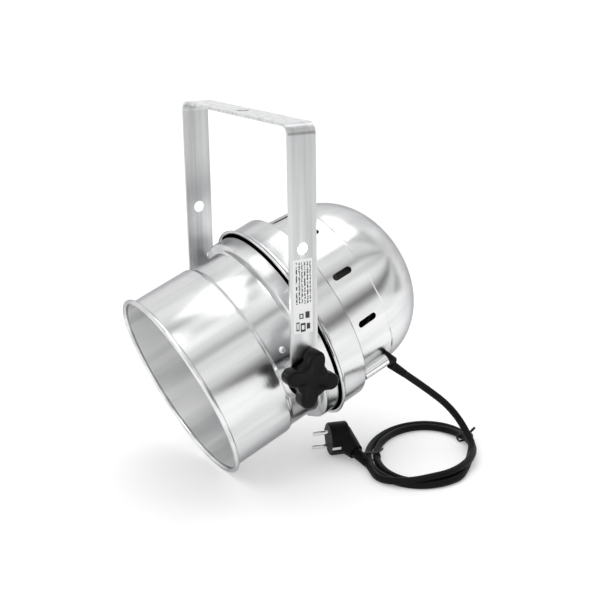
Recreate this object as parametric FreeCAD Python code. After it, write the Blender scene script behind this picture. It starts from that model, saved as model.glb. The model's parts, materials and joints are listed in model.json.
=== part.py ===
"""Par can light: a spun aluminium stage lantern in a flat-strip yoke, with its sealed-beam lamp and mains cord.

The frame's origin is the middle of the hanging hole, on the crossbar's top face. +Z is up, the beam leaves
towards -Y, and the tilt axis runs along X. The head is drawn level in its own frame, with the tilt axis through
its origin and the beam along -Y, and is then tilted nose down. Lengths are in millimetres, angles in degrees.
"""
import FreeCAD, Part
import math
import os

V = FreeCAD.Base.Vector
X, Y, Z, O = V(1, 0, 0), V(0, 1, 0), V(0, 0, 1), V(0, 0, 0)

# ---- driving dimensions -------------------------------------------------------------------------
TILT = 22.8                 # the head's nose-down angle at rest
SHEET = 1.0                 # wall of the spun shells
RUNNING = 0.05              # radial clearance of a shaft that turns in its hole
SKIN = 0.3                  # gap between faces of different bodies

# yoke
YOKE_WIDTH = 245.0          # outside, across the legs
YOKE_DROP = 250.0           # crossbar's top face to the tilt axis
STRIP_W, STRIP_T = 30.0, 3.0
BEND_R = 11.0               # outer radius of the two bends
BOLT_R = 6.5                # hanging hole and leg holes, for an M12 bolt
LEG_HOLE_UP = 129.3         # leg holes above the tilt axis
LABEL = (21.5, 75.0, 0.2)   # sticker: width, height, thickness
LABEL_AT = (-1.3, 82.0)     # its middle, along Y and above the tilt axis

# head: stations are measured along the beam from the tilt axis, positive towards the front
RIM_S, RIM_R, BEAD_R = 94.0, 107.4, 2.8   # rolled rim: front face, outer radius, radius of the roll
BARREL_R = 102.6
RIDGE_S = 18.3              # the barrel steps down to the neck
NECK_R = 99.5
COLLAR_S, COLLAR_R, COLLAR_END_S = -19.5, 110.0, -36.5
LIP_S, LIP_R = -40.0, 116.0
HOUSING_R = 112.0
STEP_S, REAR_R = -73.5, 101.0
SEAM_S, SEAM_R = -118.2, 98.0
DOME_DEPTH, DOME_STEPS, SKIRT = 76.8, 16, 8.0

SLOT_PLACES, CONDUIT_PLACE = 11, 10        # vent slots round the housing; one place has the conduit instead
SLOT_L, SLOT_W, SLOT_S = 23.5, 7.6, -95.5
CONDUIT_ANGLE, CONDUIT_OFF = -37.0, 104.5  # where the conduit lies, and its distance from the head's axis
CONDUIT_R, CONDUIT_END_S = 7.0, -106.0
GLAND_R, GLAND_L = 8.2, 9.0

# tilt clamps, one each side
STUD_R, STUD_END_X = 4.0, 84.0
WASHER_R, WASHER_T = 11.0, 1.0
FRICTION_R, FRICTION_T = 14.0, 1.3
SPACER_R = 11.0
KNOB_R, KNOB_HUB_R, LOBE_R, KNOB_CORE_R = 30.0, 21.0, 8.5, 19.5
KNOB_T, KNOB_HUB_T = 16.0, 1.5
KNOB_LOBES, KNOB_PHASE = 4, -14.0
PLATE_T, PLATE_HALF_ANGLE, PLATE_HALF_S = 2.0, 19.0, 14.0
RIVET_ANGLE, RIVET_S, RIVET_R, RIVET_HEAD_R = 14.0, 2.0, 2.0, 4.2
NUT_AF, NUT_T = 13.0, 6.5

# fastenings between collar and lip
HOOK_ANGLE = 30.0
LATCH_ANGLES = {"bottom": -90.0, "far": 143.0}
CLIP_HALF_W, EAR_T = 6.8, 1.2
PIN_S, PIN_OFF, PIN_R, EYE_R = -28.0, 114.0, 1.5, 2.8
STRAP_T = 1.3
OVER_LIP_R = LIP_R + 0.6    # underside of what passes over the lip
BEHIND_LIP_S = -45.0

# lamp
LAMP_R, LENS_EDGE, LAMP_EDGE = 101.6, 5.0, 7.0
SEAT_T, SPRING_T = 1.0, 1.5
CROWN_S, CROWN_R = -11.0, 96.0
BOWL_BACK_S, BOWL_BACK_R, GLASS = -112.0, 24.0, 3.0
BASE_T, BASE_R = 8.0, 20.0
BLADE = (1.5, 19.0, 9.5)    # lamp contact: thickness, length, width
BLADE_HALF_GAP = 8.0
SOCKET = (44.0, 26.0, 28.0)
TERMINAL = (38.0, 13.0, 15.0)
BRACKET = (48.0, 26.0, 1.5)
BRACKET_Y, BRACKET_Z = 84.0, -81.0
LEAD_R = 1.6

# mains cord, plug and coil
CORD_R = 4.0
RELIEF_R, RELIEF_TIP_R = 5.2, 4.2
COIL_C, COIL_A, COIL_B, COIL_TURN = (96.6, 163.7), 79.6, 56.2, -42.0   # oval that the turns follow
COIL_W, COIL_H, TIE_W, TIE_T = 17.0, 15.0, 5.0, 1.0
TIE_ANGLES = (105.0, -105.0)               # round the coil, from +X
PLUG_R, PLUG_T, PLUG_LEAN = 18.5, 22.0, 15.0   # plug's disc, and the angle of its pins' row from upright
NECK_R0, NECK_R1 = 15.0, 8.6               # plug's neck, at the disc and at the strain relief
PIN_TIP_R, PIN_L, PIN_GAP = 2.4, 19.0, 19.0
EARTH_CLIP = (3.4, 12.0, 0.8)
PLUG_AT, PIN_WAY = (38.5, 76.0), V(-0.26, -0.966, 0)   # middle of the pins' face, and where the pins point

# ---- derived ------------------------------------------------------------------------------------
PIVOT = V(0, 0, -YOKE_DROP)
SIN, COS = math.sin(math.radians(TILT)), math.cos(math.radians(TILT))
FLOOR_Z = PIVOT.z - RIM_S * SIN - RIM_R * COS      # the level that the rolled rim reaches down to
LEG_OUT = YOKE_WIDTH / 2
LEG_IN = LEG_OUT - STRIP_T
COLLAR_IN = COLLAR_R - SHEET
SIDES = ("near", "far")
NECK_AT = (68, 94, FLOOR_Z + 9.5)                   # where the plug's neck becomes the strain relief
PLUG_CORD_AT = (93, 94, FLOOR_Z + 4.8)              # where the strain relief meets the coil
CORD_EXIT = V(0, 0.783, -0.622)                    # the way the cord leaves the gland
CORD_ROUTE = [V(84, 147, -288.7), V(84.5, 164, -302), V(86, 181, -316), V(89, 197, -330), V(94, 208, -343.5),
              V(101, 214.5, -356.5), V(111, 216, -367.5), V(123, 213.5, -375), V(136, 206, -379),
              V(148, 195, -380.5)]


# ---- helpers ------------------------------------------------------------------------------------
def save(name, *solids):
    """Writes one node, as one solid or as a group of separate solids."""
    shape = solids[0] if len(solids) == 1 else Part.makeCompound(list(solids))
    shape.exportStep(f"parts/{name}.step")


def box(low, size):
    return Part.makeBox(*size, V(*low))


def turned(outline):
    """Solid of revolution about the head's axis, from (station, radius) corners."""
    corners = [V(0, -s, r) for s, r in outline]
    face = Part.Face(Part.makePolygon(corners + corners[:1]))
    return face.revolve(O, Y, 360)


def moved_in(path, depth):
    """A front-to-back (station, radius) path moved towards the axis, with mitred corners."""
    normals = []
    for (s0, r0), (s1, r1) in zip(path, path[1:]):
        length = math.hypot(s1 - s0, r1 - r0)
        normals.append(((r0 - r1) / length, (s1 - s0) / length))
    out = []
    for i, (s, r) in enumerate(path):
        a, b = normals[max(i - 1, 0)], normals[min(i, len(normals) - 1)]
        k = depth / (1 + a[0] * b[0] + a[1] * b[1])
        out.append((s + k * (a[0] + b[0]), r + k * (a[1] + b[1])))
    return out


def spun(path, wall=SHEET):
    """Spun shell: path is its outer side, front to back."""
    return turned(path + moved_in(path, wall)[::-1])


def at_angle(shape, angle):
    """Turns something drawn at the head's top round to an angle counted from +X towards the top."""
    turned_shape = shape.copy()
    turned_shape.rotate(O, Y, 90 - angle)
    return turned_shape


def radial_rod(radius, r0, r1, s, angle):
    return at_angle(Part.makeCylinder(radius, r1 - r0, V(0, -s, r0), Z), angle)


def x_rod(radius, x0, x1):
    return Part.makeCylinder(radius, x1 - x0, V(x0, 0, 0), X)


def mirrored(shape, side):
    return shape if side == "near" else shape.mirror(O, X)


def head_point(s, r, angle):
    a = math.radians(angle)
    return V(r * math.cos(a), -s, r * math.sin(a))


def in_place(point):
    """A point of the head's own frame, in the part's frame."""
    return V(point.x, point.y * COS - point.z * SIN, point.y * SIN + point.z * COS) + PIVOT


def save_head(name, *solids):
    """Writes a node that is drawn in the head's own frame."""
    placed = [s.copy() for s in solids]
    for solid in placed:
        solid.rotate(O, X, TILT)
        solid.translate(PIVOT)
    save(name, *placed)


def save_clamp(name, shape):
    """Writes a node that is drawn about the tilt axis."""
    placed = shape.copy()
    placed.translate(PIVOT)
    save(name, placed)


def routed(points, radius):
    """Round cord along straight runs joined by tangent arcs. Returns the solid and the arcs' radii."""
    edges, radii, start = [], [], points[0]
    for before, corner, after in zip(points, points[1:], points[2:]):
        run_in, run_out = corner - before, after - corner
        turn = run_in.getAngle(run_out)
        shorter = min(run_in.Length, run_out.Length)
        back = 0.45 * shorter
        radii.append(back / math.tan(turn / 2))
        a = corner - run_in * (back / run_in.Length)
        b = corner + run_out * (back / run_out.Length)
        bisector = (b - corner) + (a - corner)
        bisector.normalize()
        middle = corner + bisector * (radii[-1] / math.cos(turn / 2) - radii[-1])
        edges += [Part.LineSegment(start, a).toShape(), Part.Arc(a, middle, b).toShape()]
        start = b
    edges.append(Part.LineSegment(start, points[-1]).toShape())
    path = Part.Wire(edges)
    profile = Part.Wire(Part.Circle(points[0], points[1] - points[0], radius).toShape())
    solid = path.makePipeShell([profile], True, False)
    print(f"  length {path.Length:.0f}, volume over section {solid.Volume / (math.pi * radius ** 2):.0f},",
          "radii", [round(r) for r in radii])
    return solid, radii


# ---- yoke ---------------------------------------------------------------------------------------
def bent_block(half_width, top, radius):
    """Block with its two upper lengthwise edges rounded."""
    height = YOKE_DROP + STRIP_W
    block = box((-half_width, -STRIP_W / 2, top - height), (2 * half_width, STRIP_W, height))
    upper = [e for e in block.Edges
             if all(abs(v.Z - top) < 1e-6 for v in e.Vertexes) and abs(e.Vertexes[0].X - e.Vertexes[1].X) < 1e-6]
    return block.makeFillet(radius, upper)


def yoke():
    strip = bent_block(LEG_OUT, 0, BEND_R).cut(bent_block(LEG_IN, -STRIP_T, BEND_R - STRIP_T))
    above_axis = box((-LEG_OUT, -STRIP_W / 2, PIVOT.z), (YOKE_WIDTH, STRIP_W, YOKE_DROP))
    round_ends = Part.makeCylinder(STRIP_W / 2, YOKE_WIDTH, V(-LEG_OUT, 0, PIVOT.z), X)
    strip = strip.common(above_axis.fuse(round_ends))
    strip = strip.cut(Part.makeCylinder(BOLT_R, 2 * STRIP_T, V(0, 0, -STRIP_T - 1), Z))
    for up, radius in ((0, STUD_R + RUNNING), (LEG_HOLE_UP, BOLT_R)):
        strip = strip.cut(Part.makeCylinder(radius, YOKE_WIDTH + 2, V(-LEG_OUT - 1, 0, PIVOT.z + up), X))
    save("yoke", strip)


def label():
    width, height, thick = LABEL
    y, up = LABEL_AT
    save("rating_label", box((LEG_OUT, y - width / 2, PIVOT.z + up - height / 2), (thick, width, height)))


# ---- tilt clamps --------------------------------------------------------------------------------
def knob():
    """Four-lobed knob on the near side, with a bore for its stud."""
    base = LEG_OUT + WASHER_T + SKIN
    face = base + KNOB_HUB_T + KNOB_T
    head = x_rod(KNOB_CORE_R, base + KNOB_HUB_T, face)
    for i in range(KNOB_LOBES):
        angle = math.radians(KNOB_PHASE + 360 / KNOB_LOBES * i)
        out = V(0, math.cos(angle), math.sin(angle))
        across = V(0, -math.sin(angle), math.cos(angle))
        tip = out * (KNOB_R - LOBE_R) + X * (base + KNOB_HUB_T)
        lobe = Part.makeCylinder(LOBE_R, KNOB_T, tip, X)
        corners = [X * (base + KNOB_HUB_T) + across * LOBE_R, tip + across * LOBE_R,
                   tip - across * LOBE_R, X * (base + KNOB_HUB_T) - across * LOBE_R]
        arm = Part.Face(Part.makePolygon(corners + corners[:1])).extrude(X * KNOB_T)
        head = head.fuse([lobe, arm])
    head = head.fuse(x_rod(KNOB_HUB_R, base, base + KNOB_HUB_T)).removeSplitter()
    rim = [e for e in head.Edges if all(abs(v.X - face) < 1e-6 for v in e.Vertexes)]
    head = head.makeFillet(2.5, rim)
    return head.cut(x_rod(STUD_R, base - 1, face - 4))


def clamps():
    base = LEG_OUT + WASHER_T + SKIN
    end = base + KNOB_HUB_T + KNOB_T - 4
    hole = x_rod(STUD_R + RUNNING, STUD_END_X - 1, end)
    washer = x_rod(WASHER_R, LEG_OUT, LEG_OUT + WASHER_T).cut(hole)
    friction_x = LEG_IN - SKIN - FRICTION_T
    friction = x_rod(FRICTION_R, friction_x, friction_x + FRICTION_T).cut(hole)
    neck = turned([(PLATE_HALF_S, 0), (PLATE_HALF_S, NECK_R), (-PLATE_HALF_S, NECK_R), (-PLATE_HALF_S, 0)])
    spacer = x_rod(SPACER_R, NECK_R - 5, friction_x).cut(neck).cut(hole)
    star = knob()
    stud = x_rod(STUD_R, STUD_END_X, end)
    for side in SIDES:
        save_clamp(f"knob_{side}", mirrored(star, side))
        save_clamp(f"stud_{side}", mirrored(stud, side))
        save_clamp(f"knob_washer_{side}", mirrored(washer, side))
        save_head(f"friction_washer_{side}", mirrored(friction, side))
        save_head(f"pivot_spacer_{side}", mirrored(spacer, side))


def neck_fixings():
    """Plates, weld nuts and rivets that carry the studs. Returns the holes that they need in the neck."""
    hole = x_rod(STUD_R + RUNNING, STUD_END_X - 1, LEG_IN)
    outer, inner = NECK_R - SHEET, NECK_R - SHEET - PLATE_T
    band = turned([(PLATE_HALF_S, inner), (PLATE_HALF_S, outer), (-PLATE_HALF_S, outer), (-PLATE_HALF_S, inner)])
    reach = outer * math.tan(math.radians(PLATE_HALF_ANGLE))
    wedge = Part.makePolygon([O, V(outer, 0, reach), V(outer, 0, -reach), O])
    wedge = Part.Face(wedge).extrude(Y * (2 * PLATE_HALF_S))
    wedge.translate(Y * -PLATE_HALF_S)
    flats = [V(inner - NUT_T, NUT_AF / math.sqrt(3) * math.cos(a), NUT_AF / math.sqrt(3) * math.sin(a))
             for a in (math.radians(60 * i) for i in range(6))]
    nut = Part.Face(Part.makePolygon(flats + flats[:1])).extrude(X * (NUT_T + 1))
    under_plate = turned([(PLATE_HALF_S, 0), (PLATE_HALF_S, inner), (-PLATE_HALF_S, inner), (-PLATE_HALF_S, 0)])
    nut = nut.common(under_plate).cut(hole)
    rivets, shanks = [], []
    for side_angle in (0, 180):
        for lean in (-RIVET_ANGLE, RIVET_ANGLE):
            angle = side_angle + lean
            shank = radial_rod(RIVET_R, inner - 1, NECK_R + 0.5, RIVET_S, angle)
            tail = radial_rod(RIVET_R + 1, inner - 1.5, inner - 0.2, RIVET_S, angle)
            ball = Part.makeSphere(RIVET_HEAD_R, V(0, -RIVET_S, NECK_R - 2))
            head = at_angle(ball, angle).cut(turned([(9, 0), (9, NECK_R), (-9, NECK_R), (-9, 0)]))
            rivets.append(shank.fuse([tail, head]))
            shanks.append(radial_rod(RIVET_R, inner - 2, NECK_R + 1, RIVET_S, angle))
    plate = band.common(wedge).cut(hole).cut(shanks)
    for side in SIDES:
        save_head(f"pivot_plate_{side}", mirrored(plate, side))
        save_head(f"pivot_nut_{side}", mirrored(nut, side))
    save_head("pivot_rivets", *rivets)
    return shanks + [hole, mirrored(hole, "far")]


# ---- spun shells --------------------------------------------------------------------------------
def front_barrel(holes):
    roll_s, roll_r = RIM_S - BEAD_R, RIM_R - BEAD_R
    path = [(roll_s - 0.5, roll_r - 0.3), (roll_s - 4, BARREL_R), (RIDGE_S + 2, BARREL_R), (RIDGE_S - 2, NECK_R),
            (COLLAR_S + SHEET, NECK_R), (COLLAR_S, NECK_R + 2), (COLLAR_S, COLLAR_R - 3),
            (COLLAR_S - 3, COLLAR_R), (COLLAR_END_S, COLLAR_R)]
    roll = Part.makeTorus(roll_r, BEAD_R, V(0, -roll_s, 0), Y)
    save_head("front_barrel", spun(path).fuse(roll).cut(holes))


def housing_path():
    return [(LIP_S, LIP_R), (LIP_S - 1.5, LIP_R - 0.5), (LIP_S - 4, HOUSING_R), (STEP_S + 2, HOUSING_R),
            (STEP_S, HOUSING_R - 2), (STEP_S - 1, REAR_R), (SEAM_S, SEAM_R)]


def rear_housing():
    shell = spun(housing_path())
    for place in range(SLOT_PLACES):
        if place != CONDUIT_PLACE:
            half = (SLOT_L - SLOT_W) / 2
            slot = box((-SLOT_W / 2, -SLOT_S - half, REAR_R - 10), (SLOT_W, 2 * half, 20))
            for end in (-half, half):
                slot = slot.fuse(Part.makeCylinder(SLOT_W / 2, 20, V(0, -SLOT_S + end, REAR_R - 10), Z))
            shell = shell.cut(at_angle(slot, 360 / SLOT_PLACES * place))
    cord_hole = Part.makeCylinder(CORD_R + 1, 20, head_point(STEP_S + 10, CONDUIT_OFF, CONDUIT_ANGLE), Y)
    shell = shell.cut(cord_hole.common(turned([(STEP_S + 3, 0), (STEP_S + 3, 130), (STEP_S - 3, 130),
                                               (STEP_S - 3, 0)])))
    save_head("rear_housing", shell)


def dome_path(depth, radius):
    """Quarter outline of the dome, from its seam to the middle of the back."""
    angles = [math.radians(90 / DOME_STEPS * i) for i in range(DOME_STEPS)]
    return [(SEAM_S - depth * math.sin(a), radius * math.cos(a) ** 0.9) for a in angles] + [(SEAM_S - depth, 0)]


def rear_dome():
    """Domed back with a skirt that slips inside the housing."""
    outer = dome_path(DOME_DEPTH, SEAM_R)
    inner = dome_path(DOME_DEPTH - SHEET, SEAM_R - 2 * SHEET)
    skirt = [(SEAM_S + SKIRT, SEAM_R - 2 * SHEET), (SEAM_S + SKIRT, SEAM_R - SHEET), (SEAM_S, SEAM_R - SHEET)]
    save_head("rear_dome", turned(outer + inner[::-1] + skirt))


def inside_of_housing():
    """The space inside the housing, for trimming what stands on its wall."""
    path = moved_in(housing_path(), SHEET)
    return turned([(path[0][0], 0)] + path + [(path[-1][0], 0)])


# ---- fastenings between collar and lip ----------------------------------------------------------
def fastenings():
    def strap(outline, half_width):
        corners = [V(-half_width, -s, r) for s, r in outline]
        return Part.Face(Part.makePolygon(corners + corners[:1])).extrude(X * (2 * half_width))

    collar = turned([(COLLAR_S, 0), (COLLAR_S, COLLAR_R), (BEHIND_LIP_S, COLLAR_R), (BEHIND_LIP_S, 0)])
    top = OVER_LIP_R + STRAP_T
    hook = strap([(COLLAR_S - 4, COLLAR_R - 1), (COLLAR_END_S - 1, COLLAR_R - 1), (COLLAR_END_S - 1, OVER_LIP_R),
                  (BEHIND_LIP_S, OVER_LIP_R), (BEHIND_LIP_S, HOUSING_R + 0.4),
                  (BEHIND_LIP_S - STRAP_T, HOUSING_R + 0.4), (BEHIND_LIP_S - STRAP_T, top),
                  (COLLAR_END_S, top), (COLLAR_END_S, COLLAR_R + STRAP_T), (COLLAR_S - 4, COLLAR_R + STRAP_T)],
                 CLIP_HALF_W).cut(collar)
    save_head("fixed_hook", at_angle(hook, HOOK_ANGLE))

    pin_at = V(0, -PIN_S, PIN_OFF)
    half_span = CLIP_HALF_W + SKIN + EAR_T

    def cross_rod(radius, half_length):
        return Part.makeCylinder(radius, 2 * half_length, pin_at - X * half_length, X)

    base = box((-half_span, -PIN_S - 6, COLLAR_R - 2), (2 * half_span, 12, 2 + STRAP_T - 0.5))
    for x in (-half_span, half_span - EAR_T):
        base = base.fuse(box((x, -PIN_S - 4, COLLAR_R - 2), (EAR_T, 8, PIN_OFF - COLLAR_R + 2)))
    base = base.fuse(cross_rod(4, half_span).cut(cross_rod(4, half_span - EAR_T)))
    bracket = base.cut(collar).cut(cross_rod(PIN_R, half_span))
    pin = cross_rod(PIN_R, half_span + 0.6)

    lever = strap([(PIN_S, OVER_LIP_R), (BEHIND_LIP_S, OVER_LIP_R), (BEHIND_LIP_S, HOUSING_R + 0.6),
                   (BEHIND_LIP_S - STRAP_T, HOUSING_R + 0.6), (BEHIND_LIP_S - STRAP_T, top - 0.4),
                   (BEHIND_LIP_S - 8, top + 2.6), (BEHIND_LIP_S - 8, top + 2.6 + STRAP_T),
                   (BEHIND_LIP_S - 1, top), (PIN_S, top)], CLIP_HALF_W)
    lever = lever.fuse([cross_rod(EYE_R, CLIP_HALF_W),
                        box((-CLIP_HALF_W, -PIN_S - 2, PIN_OFF), (2 * CLIP_HALF_W, 2, top - PIN_OFF))])
    lever = lever.cut(cross_rod(PIN_R + RUNNING, CLIP_HALF_W))
    for place, angle in LATCH_ANGLES.items():
        save_head(f"latch_bracket_{place}", at_angle(bracket, angle))
        save_head(f"latch_pin_{place}", at_angle(pin, angle))
        save_head(f"latch_lever_{place}", at_angle(lever, angle))
        centre = in_place(head_point(PIN_S, PIN_OFF, angle))
        print(f"  latch {place}: pin at", [round(c / 1000, 6) for c in centre])


# ---- lamp and wiring ----------------------------------------------------------------------------
def lamp():
    seat_s = COLLAR_S - SHEET
    save_head("lamp_seat_ring", turned([(seat_s, NECK_R + 2), (seat_s, COLLAR_IN - 3), (seat_s - SEAT_T, COLLAR_IN - 3),
                                        (seat_s - SEAT_T, LAMP_R - 5), (seat_s - 0.2, LAMP_R - 5)]))
    edge_s = seat_s - SEAT_T
    steps = 8
    crown = [(CROWN_S - (CROWN_S - edge_s) * (i / steps) ** 2, CROWN_R * i / steps) for i in range(steps + 1)]
    back = edge_s - LENS_EDGE
    lens = turned(crown + [(edge_s, LAMP_R), (back, LAMP_R), (back, CROWN_R)] +
                  [(min(s - GLASS, CROWN_S - GLASS), max(r, 0)) for s, r in crown[-2::-1]])
    save_head("lamp_lens", lens)

    def bowl_r(s):
        span = (s - BOWL_BACK_S) / (back - LAMP_EDGE - BOWL_BACK_S)
        return BOWL_BACK_R + (LAMP_R - 2 - BOWL_BACK_R) * math.sqrt(span)

    rim_s = back - LAMP_EDGE
    stations = [rim_s + (BOWL_BACK_S - rim_s) * i / 9 for i in range(10)]
    outer = [(back, LAMP_R), (rim_s, LAMP_R)] + [(s, bowl_r(s)) for s in stations]
    inner = [(back, LAMP_R - 2 - GLASS)] + [(s + GLASS, max(bowl_r(s) - GLASS, 2)) for s in stations]
    save_head("lamp_reflector", turned(outer + [(BOWL_BACK_S, 0), (BOWL_BACK_S + GLASS, 0)] + inner[::-1]))
    save_head("lamp_spring_ring", turned([(rim_s, 97), (rim_s, COLLAR_IN), (rim_s - SPRING_T, COLLAR_IN),
                                          (rim_s - SPRING_T, 97)]).cut(
        turned([(rim_s + 1, 0), (rim_s + 1, bowl_r(rim_s - SPRING_T) + 1), (rim_s - 3, bowl_r(rim_s - SPRING_T) + 1),
                (rim_s - 3, 0)])))

    base_y = -BOWL_BACK_S
    save_head("lamp_base", Part.makeCylinder(BASE_R, BASE_T, V(0, base_y, 0), Y))
    thick, length, width = BLADE
    blades = [box((x - thick / 2, base_y + BASE_T, -width / 2), (thick, length, width))
              for x in (-BLADE_HALF_GAP, BLADE_HALF_GAP)]
    save_head("lamp_prongs", *blades)
    socket_y = base_y + BASE_T + 1
    wide, deep, high = SOCKET
    block = box((-wide / 2, socket_y, -high / 2), (wide, deep, high))
    block = block.makeFillet(3, [e for e in block.Edges if abs(e.Vertexes[0].Y - e.Vertexes[1].Y) > 1])
    for x in (-BLADE_HALF_GAP, BLADE_HALF_GAP):
        block = block.cut(box((x - 1, socket_y - 1, -width / 2 - 0.5), (2, length + 1, width + 1)))
    save_head("lamp_socket", block)
    return socket_y + deep


def wiring(inside, socket_back):
    wide, deep, thick = BRACKET
    bracket = box((-wide / 2, BRACKET_Y, BRACKET_Z), (wide, deep, thick))
    for x in (-wide / 2, wide / 2 - thick):
        bracket = bracket.fuse(box((x, BRACKET_Y, -REAR_R), (thick, deep, REAR_R + BRACKET_Z)))
    save_head("terminal_bracket", bracket.common(inside))
    block_w, block_d, block_h = TERMINAL
    block_y = BRACKET_Y + deep - block_d
    block_z = BRACKET_Z + thick
    save_head("terminal_block", box((-block_w / 2, block_y, block_z), (block_w, block_d, block_h)))
    screws = [Part.makeCylinder(2, 2, V(x, block_y + block_d / 2, block_z + block_h), Z) for x in (-12, 0, 12)]
    save_head("terminal_screws", *screws)
    lead_y = block_y + block_d
    leads = []
    for x in (-BLADE_HALF_GAP, BLADE_HALF_GAP):
        route = [V(x, socket_back, 4), V(x, socket_back + 12, 3), V(x * 1.1, socket_back + 18, -12),
                 V(x * 1.2, socket_back + 12, -34), V(x * 1.2, lead_y + 22, -58), V(x * 1.4, lead_y + 9, -73),
                 V(x * 1.4, lead_y, -73)]
        leads.append(routed(route, LEAD_R)[0])
    save_head("socket_leads", *leads)
    start = head_point(CONDUIT_END_S + 5, CONDUIT_OFF, CONDUIT_ANGLE)
    turn_in = [V(start.x, 72, start.z), V(start.x - 3, 58, start.z - 2), V(start.x - 15, 56, start.z - 6),
               V(60, 72, -70), V(46, 86, -72.5), V(31, block_y + 4, -72), V(block_w / 2, block_y + 6.5, -72.5)]
    save_head("inner_cord", routed([start] + turn_in, 3.2)[0])
    earth = V(-30, 96, 0)
    earth.z = -math.sqrt((REAR_R - 2.2) ** 2 - earth.x ** 2)
    save_head("earth_screw", Part.makeCylinder(3.5, 3, earth + V(0, 0, 1), Z).common(inside))
    save_head("earth_lead", routed([V(-block_w / 2, block_y + 8, -74), V(-block_w / 2 - 6, block_y + 7.5, -75),
                                    earth + V(-1, 0, 10), earth + V(0, 0, 4)], 1.2)[0])


# ---- mains cord ---------------------------------------------------------------------------------
def ring(grow, height):
    """Upright elliptical block round the middle of the coil, standing on the floor."""
    solid = Part.Face(Part.Wire(Part.Ellipse(O, COIL_A + grow, COIL_B + grow).toShape())).extrude(Z * height)
    solid.rotate(O, Z, COIL_TURN)
    solid.translate(V(*COIL_C, FLOOR_Z))
    return solid


def coil_and_ties():
    half = COIL_W / 2
    coil = ring(half, COIL_H).cut(ring(-half, COIL_H))
    ties = []
    for angle in TIE_ANGLES:
        slab = box((0, -TIE_W / 2, FLOOR_Z), (2 * COIL_A, TIE_W, COIL_H + TIE_T))
        slab.rotate(O, Z, angle)
        slab.translate(V(*COIL_C, 0))
        band = ring(half + TIE_T, COIL_H + TIE_T).cut(ring(-half - TIE_T, COIL_H + TIE_T))
        ties.append(band.common(slab).cut(coil))
    save("cord_coil", coil)
    save("cord_ties", *ties)


def conduit_and_gland():
    start = head_point(STEP_S - SHEET, CONDUIT_OFF, CONDUIT_ANGLE)
    end = head_point(CONDUIT_END_S, CONDUIT_OFF, CONDUIT_ANGLE)
    length = end.y - start.y
    housing = turned([(STEP_S + 1, 0), (STEP_S + 1, REAR_R), (STEP_S - 1, REAR_R), (SEAM_S, SEAM_R), (SEAM_S, 0)])
    tube = Part.makeCylinder(CONDUIT_R, length, start, Y).cut(
        Part.makeCylinder(CONDUIT_R - SHEET, length, start, Y)).cut(housing)
    save_head("cord_conduit", max(tube.Solids, key=lambda s: s.Volume))
    elbow = in_place(end + Y * 2)
    outlet = elbow + CORD_EXIT * GLAND_L
    placed_housing = housing.copy()
    placed_housing.rotate(O, X, TILT)
    placed_housing.translate(PIVOT)
    outlet_r = RELIEF_R + 0.8
    gland = Part.makeSphere(outlet_r, elbow).fuse(Part.makeCylinder(outlet_r, GLAND_L, elbow, CORD_EXIT))
    collar = Part.makeCylinder(GLAND_R, 4.5, in_place(end), in_place(end + Y) - in_place(end))
    beyond = Part.makeCylinder(30, 40, in_place(end), in_place(end + Y) - in_place(end))
    gland = gland.fuse(collar).common(beyond).cut(placed_housing)
    save("cord_gland", max(gland.Solids, key=lambda s: s.Volume))
    save("cord_relief", Part.makeCone(RELIEF_R, RELIEF_TIP_R, CORD_ROUTE[0].distanceToPoint(outlet), outlet,
                                      CORD_ROUTE[0] - outlet))


def plug():
    """Angled two-pin plug that stands on the edge of its disc."""
    centre = V(*PLUG_AT, FLOOR_Z + PLUG_R)
    turn = math.degrees(math.atan2(PIN_WAY.y, PIN_WAY.x))

    def stand(shape):
        shape.rotate(O, Z, turn)
        shape.translate(centre)
        return shape

    body = Part.makeCylinder(PLUG_R, PLUG_T, X * -PLUG_T, X)
    body = body.makeFillet(2, body.Edges)
    lean = math.radians(PLUG_LEAN)
    row = V(0, math.sin(lean), math.cos(lean))
    clips = []
    for side in (-1, 1):
        slot = box((-EARTH_CLIP[1], -EARTH_CLIP[0] / 2, PLUG_R - EARTH_CLIP[2]), (EARTH_CLIP[1], EARTH_CLIP[0], 1))
        slot.rotate(O, X, -math.degrees(lean) + 90 * side)
        body = body.cut(slot)
        clip = slot.common(Part.makeCylinder(PLUG_R, PLUG_T, X * -PLUG_T, X))
        clips.append(stand(clip))
    pins = []
    for side in (-1, 1):
        foot = row * (side * PIN_GAP / 2) - X * 4
        pin = Part.makeCylinder(PIN_TIP_R, PIN_L + 4, foot, X)
        body = body.cut(pin)
        pins.append(stand(pin.makeFillet(1.5, [e for e in pin.Edges if e.BoundBox.XMin > PIN_L - 0.1])))
    neck_end = V(*NECK_AT)
    body = stand(body)
    neck_start = centre - PIN_WAY * (PLUG_T - 8) + Z * 1.5
    neck = Part.makeCone(NECK_R0, NECK_R1, neck_start.distanceToPoint(neck_end), neck_start, neck_end - neck_start)
    front = centre - PIN_WAY * 8
    neck = neck.cut(Part.makeCylinder(60, 60, front, PIN_WAY))
    save("plug_body", body.fuse(neck))
    save("plug_pins", *pins)
    save("plug_earth_clips", *clips)
    relief_end = V(*PLUG_CORD_AT)
    save("plug_relief", Part.makeCone(RELIEF_R, RELIEF_TIP_R, neck_end.distanceToPoint(relief_end), neck_end,
                                      relief_end - neck_end))


yoke()
label()
clamps()
holes = neck_fixings()
front_barrel(holes)
rear_housing()
rear_dome()
fastenings()
wiring(inside_of_housing(), lamp())
conduit_and_gland()
print("mains cord:")
save("power_cord", routed(CORD_ROUTE, CORD_R)[0])
coil_and_ties()
plug()
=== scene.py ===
"""Par can light: materials, smooth spun shells, knobs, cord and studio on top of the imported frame.

Lengths are in metres. The head is described in its own frame: a station s along the beam from the tilt axis,
positive towards the front, a radius r, and an angle counted from +X towards the can's own top.
"""
import json
import math
import bmesh
import bpy
from mathutils import Matrix, Vector


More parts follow.
